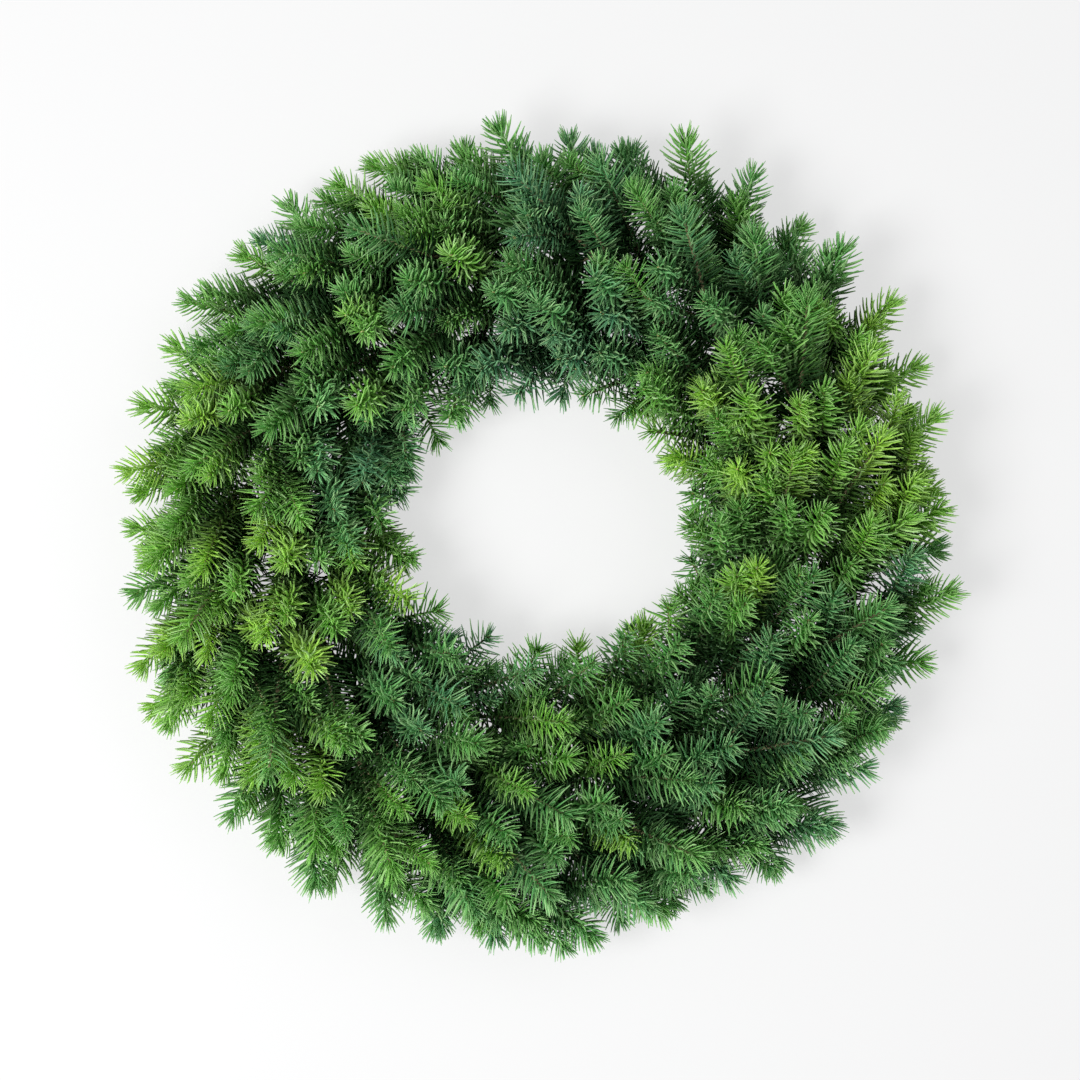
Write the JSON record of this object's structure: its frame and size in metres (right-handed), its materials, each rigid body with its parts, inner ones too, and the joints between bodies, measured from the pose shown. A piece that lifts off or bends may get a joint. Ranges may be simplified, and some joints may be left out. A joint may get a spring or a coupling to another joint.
{
  "type": "fresh evergreen wreath",
  "caption": "Full round wreath of fresh noble fir tips, laid one way round a wire clamp ring, with an open middle.",
  "frame": {"origin": "middle of the wreath, on the surface that its back lies on", "axes": "+Z out of the wreath's face, +Y towards the top of the wreath as it hangs, +X towards the right of its face"},
  "size_m": [0.6157, 0.6118, 0.1096],
  "materials": {
    "ring_steel": "galvanised wire, dulled",
    "clamp_steel": "galvanised wire, dulled",
    "blue_green_needles": "waxy blue-green fir needles on brown bark",
    "mid_green_needles": "fresh green fir needles on brown bark",
    "yellow_green_needles": "young yellow-green fir needles on brown bark"
  },
  "bodies": {
    "root": {"ring_wire": "ring_steel", "clamp_01": "clamp_steel", "clamp_02": "clamp_steel", "clamp_03": "clamp_steel", "clamp_04": "clamp_steel", "clamp_05": "clamp_steel", "clamp_06": "clamp_steel", "clamp_07": "clamp_steel", "clamp_08": "clamp_steel", "clamp_09": "clamp_steel", "clamp_10": "clamp_steel", "clamp_11": "clamp_steel", "clamp_12": "clamp_steel", "clamp_13": "clamp_steel", "clamp_14": "clamp_steel", "inner_branch_01": "mid_green_needles", "inner_branch_02": "yellow_green_needles", "inner_branch_03": "blue_green_needles", "inner_branch_04": "blue_green_needles", "inner_branch_05": "mid_green_needles", "inner_branch_06": "mid_green_needles", "inner_branch_07": "yellow_green_needles", "inner_branch_08": "yellow_green_needles", "inner_branch_09": "yellow_green_needles", "inner_branch_10": "mid_green_needles", "inner_branch_11": "blue_green_needles", "inner_branch_12": "blue_green_needles", "inner_branch_13": "mid_green_needles", "inner_branch_14": "yellow_green_needles", "face_branch_01": "mid_green_needles", "face_branch_02": "yellow_green_needles", "face_branch_03": "blue_green_needles", "face_branch_04": "blue_green_needles", "face_branch_05": "mid_green_needles", "face_branch_06": "mid_green_needles", "face_branch_07": "yellow_green_needles", "face_branch_08": "yellow_green_needles", "face_branch_09": "yellow_green_needles", "face_branch_10": "mid_green_needles", "face_branch_11": "blue_green_needles", "face_branch_12": "blue_green_needles", "face_branch_13": "mid_green_needles", "face_branch_14": "yellow_green_needles", "outer_branch_01": "mid_green_needles", "outer_branch_02": "yellow_green_needles", "outer_branch_03": "blue_green_needles", "outer_branch_04": "blue_green_needles", "outer_branch_05": "mid_green_needles", "outer_branch_06": "mid_green_needles", "outer_branch_07": "yellow_green_needles", "outer_branch_08": "yellow_green_needles", "outer_branch_09": "yellow_green_needles", "outer_branch_10": "mid_green_needles", "outer_branch_11": "blue_green_needles", "outer_branch_12": "blue_green_needles", "outer_branch_13": "mid_green_needles", "outer_branch_14": "yellow_green_needles"}
  },
  "joints": []
}
